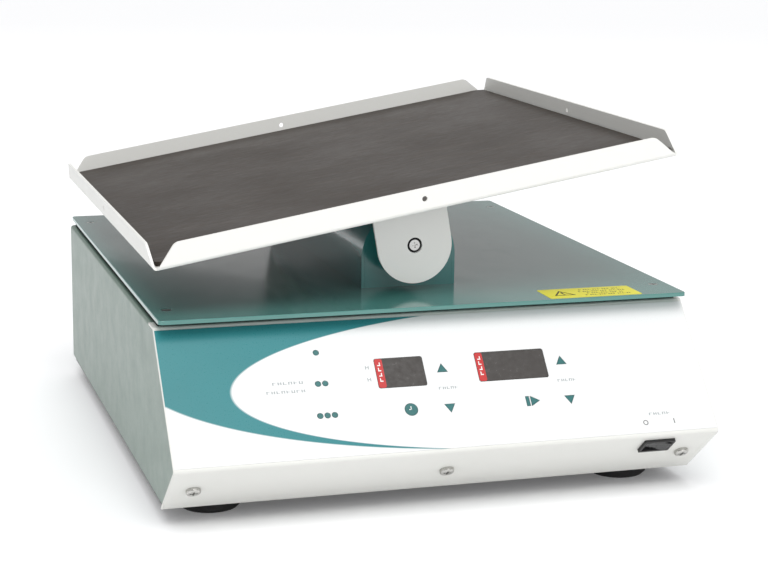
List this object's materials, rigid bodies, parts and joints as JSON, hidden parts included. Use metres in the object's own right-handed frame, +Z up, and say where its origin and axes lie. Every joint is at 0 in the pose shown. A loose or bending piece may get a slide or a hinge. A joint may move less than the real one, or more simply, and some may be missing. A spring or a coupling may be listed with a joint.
{
  "type": "rocking platform mixer",
  "caption": "Digital laboratory rocker: a rimmed square tray with a rubber mat tips end to end on a shaft over a wedge-fronted sheet metal case with a keypad.",
  "frame": {"origin": "on the bench, under the middle of the lid", "axes": "+X to the right along the front, +Y from the front to the back, +Z up"},
  "size_m": [0.354, 0.4219, 0.2299],
  "materials": {
    "teal_glass_paint": "glossy grey-green enamel on steel plate",
    "grey_paint": "satin grey-green powder coat",
    "white_paint": "satin white powder coat",
    "black_paint": "satin black coat",
    "teal_paint": "satin teal powder coat",
    "overlay_film": "printed polyester film",
    "teal_keys": "printed polyester film over a moulded key",
    "smoked_acrylic": "smoked clear acrylic",
    "display_plastic": "dark display module",
    "board_laminate": "green circuit board",
    "black_plastic": "moulded black nylon",
    "black_plastic_gloss": "polished black nylon",
    "black_rubber": "moulded rubber",
    "foam_rubber": "closed cell foam strip",
    "mat_rubber": "ribbed anti-slip rubber",
    "stainless": "stainless steel",
    "zinc_steel": "zinc plated steel",
    "ground_steel": "ground bright steel",
    "bare_aluminium": "bare aluminium",
    "bronze": "sintered bronze",
    "brass_parts": "plated brass"
  },
  "bodies": {
    "case": {"back_panel": "grey_paint", "base_plate": "black_paint", "board_spacers": "brass_parts", "case_screws": "zinc_steel", "control_board": "board_laminate", "displays": "display_plastic", "driver_board": "board_laminate", "driver_heatsink": "bare_aluminium", "end_plates": "teal_paint", "feet": "black_rubber", "foot_screws": "zinc_steel", "front_panel": "white_paint", "gear_motor": "black_paint", "gearbox": "ground_steel", "left_side_panel": "grey_paint", "lid": "teal_glass_paint", "lid_gasket": "foam_rubber", "lid_screws": "stainless", "lip_screws": "stainless", "mains_inlet": "black_plastic", "motor_bracket": "zinc_steel", "panel_overlay": "overlay_film", "pedestal": "teal_paint", "pedestal_screws": "zinc_steel", "power_supply": "bare_aluminium", "power_switch": "black_plastic", "right_side_panel": "grey_paint", "shaft_bushes": "bronze", "speed_window": "smoked_acrylic", "tact_switches": "black_plastic", "timer_window": "smoked_acrylic"},
    "platform": {"rocker_shaft": "ground_steel", "ear_hubs": "ground_steel", "set_screws": "zinc_steel", "tray_bracket": "white_paint", "tray": "white_paint", "tray_mat": "mat_rubber", "tray_screws": "stainless", "tray_nuts": "zinc_steel", "rocker_lever": "bare_aluminium", "lever_pin": "ground_steel", "lever_clip": "zinc_steel"},
    "connecting_link": {"link": "bare_aluminium", "link_bushes": "bronze"},
    "drive_arm": {"motor_arm": "bare_aluminium", "arm_pin": "ground_steel", "arm_clip": "zinc_steel", "output_shaft": "ground_steel"},
    "key_clock_body": {"key_clock": "teal_keys"},
    "key_program_1_body": {"key_program_1": "teal_keys"},
    "key_program_2_body": {"key_program_2": "teal_keys"},
    "key_program_3_body": {"key_program_3": "teal_keys"},
    "key_speed_down_body": {"key_speed_down": "teal_keys"},
    "key_speed_up_body": {"key_speed_up": "teal_keys"},
    "key_start_stop_body": {"key_start_stop": "teal_keys"},
    "key_timer_down_body": {"key_timer_down": "teal_keys"},
    "key_timer_up_body": {"key_timer_up": "teal_keys"},
    "power_rocker_body": {"power_rocker": "black_plastic_gloss"},
    "fuse_drawer_body": {"fuse_drawer": "black_plastic"}
  },
  "joints": [
    {"name": "platform_rock", "type": "hinge", "parent": "case", "child": "platform", "pos_m": [0, 0, 0.1564], "axis": [0, 1, 0], "range_deg": [0, 20]},
    {"name": "link_swing", "type": "hinge", "parent": "platform", "child": "connecting_link", "pos_m": [0.01773, 0, 0.15953], "axis": [0, 1, 0], "range_deg": [-20, 0]},
    {"name": "drive_arm_turn", "type": "hinge", "parent": "case", "child": "drive_arm", "pos_m": [0, 0, 0.0625], "axis": [0, 1, 0], "range_deg": [0, 20]},
    {"name": "key_clock_press", "type": "slide", "parent": "case", "child": "key_clock_body", "axis": [0, 0.751, -0.6603], "range_m": [0, 0.0005], "stiffness_N_per_m": 800},
    {"name": "key_program_1_press", "type": "slide", "parent": "case", "child": "key_program_1_body", "axis": [0, 0.751, -0.6603], "range_m": [0, 0.0005], "stiffness_N_per_m": 800},
    {"name": "key_program_2_press", "type": "slide", "parent": "case", "child": "key_program_2_body", "axis": [0, 0.751, -0.6603], "range_m": [0, 0.0005], "stiffness_N_per_m": 800},
    {"name": "key_program_3_press", "type": "slide", "parent": "case", "child": "key_program_3_body", "axis": [0, 0.751, -0.6603], "range_m": [0, 0.0005], "stiffness_N_per_m": 800},
    {"name": "key_speed_down_press", "type": "slide", "parent": "case", "child": "key_speed_down_body", "axis": [0, 0.751, -0.6603], "range_m": [0, 0.0005], "stiffness_N_per_m": 800},
    {"name": "key_speed_up_press", "type": "slide", "parent": "case", "child": "key_speed_up_body", "axis": [0, 0.751, -0.6603], "range_m": [0, 0.0005], "stiffness_N_per_m": 800},
    {"name": "key_start_stop_press", "type": "slide", "parent": "case", "child": "key_start_stop_body", "axis": [0, 0.751, -0.6603], "range_m": [0, 0.0005], "stiffness_N_per_m": 800},
    {"name": "key_timer_down_press", "type": "slide", "parent": "case", "child": "key_timer_down_body", "axis": [0, 0.751, -0.6603], "range_m": [0, 0.0005], "stiffness_N_per_m": 800},
    {"name": "key_timer_up_press", "type": "slide", "parent": "case", "child": "key_timer_up_body", "axis": [0, 0.751, -0.6603], "range_m": [0, 0.0005], "stiffness_N_per_m": 800},
    {"name": "power_rocker_tip", "type": "hinge", "parent": "case", "child": "power_rocker_body", "pos_m": [0.137, -0.22602, 0.03778], "axis": [0, -0.7657, 0.6432], "range_deg": [0, 20]},
    {"name": "fuse_drawer_slide", "type": "slide", "parent": "case", "child": "fuse_drawer_body", "axis": [0, 1, 0], "range_m": [0, 0.012]}
  ],
  "couplings": [
    {"joint": "drive_arm_turn", "follows": "platform_rock", "ratio": 1},
    {"joint": "link_swing", "follows": "platform_rock", "ratio": -1}
  ]
}
